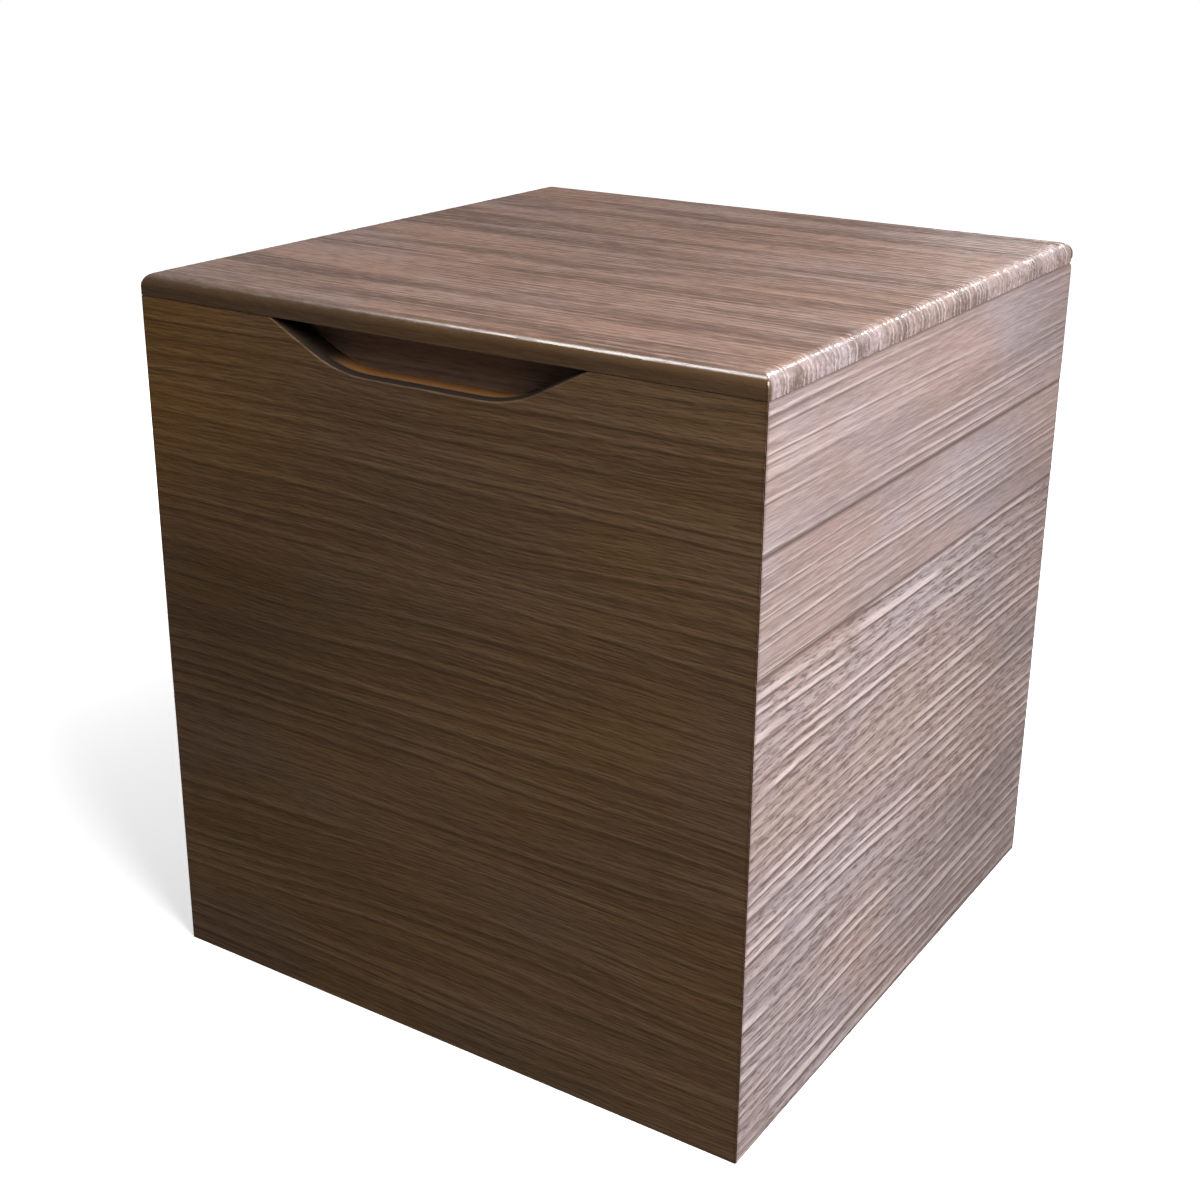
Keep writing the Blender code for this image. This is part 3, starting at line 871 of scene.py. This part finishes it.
def unit(letter):
    return tuple(1.0 if axis == letter else 0.0 for axis in "XYZ")


def relief_values(order, grain, depth, edges=None):
    """Inputs of the relief on one board. edges are its glued edges across the grain."""
    values = {**grain, "Depth": depth}
    for name, letter in zip(("Along", "Across", "Into"), order):
        values[name] = unit(letter)
    if edges:
        low, high = edges
        values.update({"Low Edge": low, "High Edge": high, "Ease": EASE_DEPTH})
    return values


def wall_block(node, order, outward):
    """Block over one wall board. outward is +1 or -1 along the direction that its outer face looks."""
    low, high = (Vector(corner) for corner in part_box(node))
    a, c, n = ("XYZ".index(letter) for letter in order)
    face = high[n] if outward > 0 else low[n]
    back = (low[n] - OVERHANG) if outward > 0 else (high[n] + OVERHANG)
    rows = []
    for across in steps(low[c] - OVERHANG, high[c] + OVERHANG, ACROSS_STEP):
        row = []
        for along in steps(low[a] - OVERHANG, high[a] + OVERHANG, ALONG_STEP):
            point = Vector((0, 0, 0))
            point[a], point[c], point[n] = along, across, face
            row.append(point)
        rows.append(row)

    def to_back(point):
        moved = point.copy()
        moved[n] = back
        return moved

    return grid_block(rows, [to_back])


def wall_piece(node, order, outward, grain, look, depth, glued=False):
    """One wall board. glued is for a board with others glued to its edges."""
    low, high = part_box(node)
    across = "XYZ".index(order[1])
    edges = (low[across], high[across]) if glued else None
    material = charred_wood(node + "_wood", order, grain, look, edges)
    values = relief_values(order, grain, depth, edges)
    block = wall_block(node, order, outward)
    brushed_piece(node + "_brushed", node, block, material, values, "box")


def rounded_steps(half, pitch):
    """(place, drop) pairs across the lid: fine steps round both edges and even steps between."""
    edge = []
    for i in range(ROUNDING_STEPS):
        angle = math.pi / 2 * i / ROUNDING_STEPS
        place = half - LID_ROUNDING * (1 - math.cos(angle))
        edge.append((place, LID_ROUNDING * (1 - math.sin(angle))))
    flat = [(place, 0.0) for place in steps(LID_ROUNDING - half, half - LID_ROUNDING, pitch)]
    return [(-place, drop) for place, drop in edge] + flat + edge[::-1]


def lid_block():
    """Block with the lid's rounded-over top and sides."""
    half = (LID_HIGH - LID_LOW) / 2
    columns = rounded_steps(half.x, ALONG_STEP)
    rows = []
    for y, drop_y in rounded_steps(half.y, ACROSS_STEP):
        rows.append([Vector((x, y, LID_HIGH.z - max(drop_x, drop_y))) for x, drop_x in columns])
    fall = (LID_THICKNESS - LID_ROUNDING) / SIDE_STEPS
    levels = steps(LID_HIGH.z - LID_ROUNDING, LID_LOW.z - OVERHANG, -fall)
    skirts = [lambda point, level=level: Vector((point.x, point.y, level)) for level in levels[1:]]
    return grid_block(rows, skirts)


def outer_boards():
    wall_piece("front_panel", FRONT_GRAIN, -1, FRONT_RINGS, NOTCHED_LOOK, FRONT_DEPTH)
    wall_piece("back_panel", FRONT_GRAIN, 1, BACK_RINGS, FRONT_LOOK, BACK_DEPTH)
    for side, outward, shift in (("right", 1, 0.0), ("left", -1, LEFT_SEED)):
        for level, grain, look, depth in SIDE_BOARDS:
            own_grain = {**grain, "Seed": grain["Seed"] + shift}
            wall_piece(f"{side}_{level}_board", SIDE_GRAIN, outward, own_grain, look, depth, glued=True)
    lid_wood = charred_wood("lid_board_wood", LID_GRAIN, LID_RINGS, LID_LOOK)
    values = relief_values(LID_GRAIN, LID_RINGS, LID_DEPTH)
    brushed_piece("lid_board_brushed", "lid_board", lid_block(), lid_wood, values, "lid")


# Rims, bottom, splines and hinges, which keep their shapes

def paint(node, material):
    """Give a node a finished material."""
    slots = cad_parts[node].data.materials
    slots.clear()
    slots.append(material)


def carried_over_nodes():
    rim_x = charred_wood("rim_wood_across", FRONT_GRAIN, RIM_RINGS, RIM_LOOK, bare=False)
    rim_y = charred_wood("rim_wood_along", SIDE_GRAIN, RIM_RINGS, RIM_LOOK, bare=False)
    for node in ("front_rim", "back_rim"):
        paint(node, rim_x)
    for node in ("left_rim", "right_rim"):
        paint(node, rim_y)
    paint("bottom_panel", bare_wood("bottom_wood", LID_GRAIN, BOTTOM_RINGS))
    spline_wood = bare_wood("spline_wood", SPLINE_GRAIN, BOTTOM_RINGS)
    brass = aged_brass("hinge_brass")
    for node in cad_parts:
        if node.endswith("_spline"):
            paint(node, spline_wood)
        elif "_hinge_" in node:
            paint(node, brass)


# Studio

# Floor: half its width, its mottled paint, the tone that it throws back on the box, and how its own white
# grows outwards from the box's shadow
FLOOR_SIZE = 6.0
FLOOR_PALE = (0.86, 0.86, 0.86)
FLOOR_DIM = (0.83, 0.83, 0.83)
FLOOR_BOUNCE = (0.16, 0.155, 0.15)
MOTTLE_SCALE = (3.0, 3.0, 3.0)
MOTTLE = (0.3, 0.7, 0.0, 0.3)
FLOOR_WHITE = (0.25, 0.9, 0.45, 1.0)
WHITE = (1.0, 1.0, 1.0, 1.0)


def floor():
    """Pale floor that shows as white and keeps the box's shadow."""
    mesh = bmesh.new()
    bmesh.ops.create_grid(mesh, x_segments=1, y_segments=1, size=FLOOR_SIZE)
    item = mesh_object("floor", mesh)
    material, tree, shader, place = new_material("floor_paint")
    seen = tree.nodes.new("ShaderNodeLightPath").outputs["Is Camera Ray"]
    mottle = ramp(tree, noise(tree, place, MOTTLE_SCALE, 2.0), *MOTTLE)
    pale = mix_colour(tree, mottle, FLOOR_PALE, FLOOR_DIM)
    tree.links.new(mix_colour(tree, seen, FLOOR_BOUNCE, pale), shader.inputs["Base Color"])
    shader.inputs["Roughness"].default_value = 0.8
    shader.inputs["Specular IOR Level"].default_value = 0.2
    shader.inputs["Emission Color"].default_value = WHITE
    white = ramp(tree, measure(tree, "LENGTH", place), *FLOOR_WHITE)
    tree.links.new(times(tree, seen, white), shader.inputs["Emission Strength"])
    item.data.materials.append(material)


def soft_box(name, place, target, size, watts, tint=(1.0, 1.0, 1.0)):
    lamp = bpy.data.lights.new(name, "AREA")
    lamp.shape = "RECTANGLE"
    lamp.size, lamp.size_y = size
    lamp.energy = watts
    lamp.color = tint
    item = new_object(name, lamp)
    item.location = place
    item.rotation_euler = (Vector(target) - Vector(place)).to_track_quat("-Z", "Y").to_euler()
    return item


def world_light(spread, mirrored):
    """White where the camera sees it, softer in reflections, and dim as a light from all round."""
    world = bpy.data.worlds.new("studio")
    world.use_nodes = True
    tree = world.node_tree
    background = tree.nodes["Background"]
    path = tree.nodes.new("ShaderNodeLightPath").outputs
    background.inputs["Color"].default_value = WHITE
    level = ramp(tree, path["Is Glossy Ray"], 0.0, 1.0, spread, mirrored)
    seen = calc(tree, "MAXIMUM", path["Is Camera Ray"], path["Is Transmission Ray"])
    tree.links.new(calc(tree, "MAXIMUM", level, seen), background.inputs["Strength"])
    bpy.context.scene.world = world


# Middles of the lid's front and right edges, where small lamps lay a glint
FRONT_EDGE = (0.10, -0.16, 0.34)
SIDE_EDGE = (0.157, 0.0, 0.34)
COOL = (0.97, 0.98, 1.0)


def lights():
    soft_box("window_right", (1.00, -0.33, 0.97), MIDDLE, size=(0.8, 0.8), watts=38.0)
    soft_box("window_back", (-0.06, 1.25, 0.44), MIDDLE, size=(0.6, 0.45), watts=4.3, tint=COOL)
    soft_box("window_left", (-1.15, 0.22, 0.48), MIDDLE, size=(0.6, 0.6), watts=7.0)
    glints = (
        soft_box("front_glint", (-0.66, -0.51, 1.58), FRONT_EDGE, size=(0.40, 0.46), watts=13.5),
        soft_box("side_glint", (0.44, 1.15, 1.27), SIDE_EDGE, size=(0.26, 0.26), watts=9.0),
    )
    for lamp in glints:
        lamp.visible_diffuse = False
    world_light(spread=0.06, mirrored=0.20)


# Camera at the photograph's angle
FRAME_PIXELS = 1200
SENSOR = 36.0
FOCAL_PIXELS = 1784.0
AXIS_PIXEL = (600.0, 560.0)
CAMERA_PLACE = Vector((0.4398, -0.7066, 0.4972))
CAMERA_AZIMUTH = 32.85
CAMERA_TILT = 20.38
CAMERA_ROLL = 0.53


def camera():
    data = bpy.data.cameras.new("camera")
    data.sensor_fit = "HORIZONTAL"
    data.sensor_width = SENSOR
    data.lens = FOCAL_PIXELS / FRAME_PIXELS * SENSOR
    data.shift_x = (FRAME_PIXELS / 2 - AXIS_PIXEL[0]) / FRAME_PIXELS
    data.shift_y = (AXIS_PIXEL[1] - FRAME_PIXELS / 2) / FRAME_PIXELS
    item = new_object("camera", data)
    upright = Euler((math.radians(90 - CAMERA_TILT), 0, math.radians(CAMERA_AZIMUTH))).to_matrix()
    roll = Matrix.Rotation(math.radians(CAMERA_ROLL), 3, "Z")
    item.rotation_euler = (upright @ roll).to_euler()
    item.location = CAMERA_PLACE
    bpy.context.scene.camera = item


outer_boards()
carried_over_nodes()
floor()
lights()
camera()
bpy.context.scene.view_settings.view_transform = "Standard"
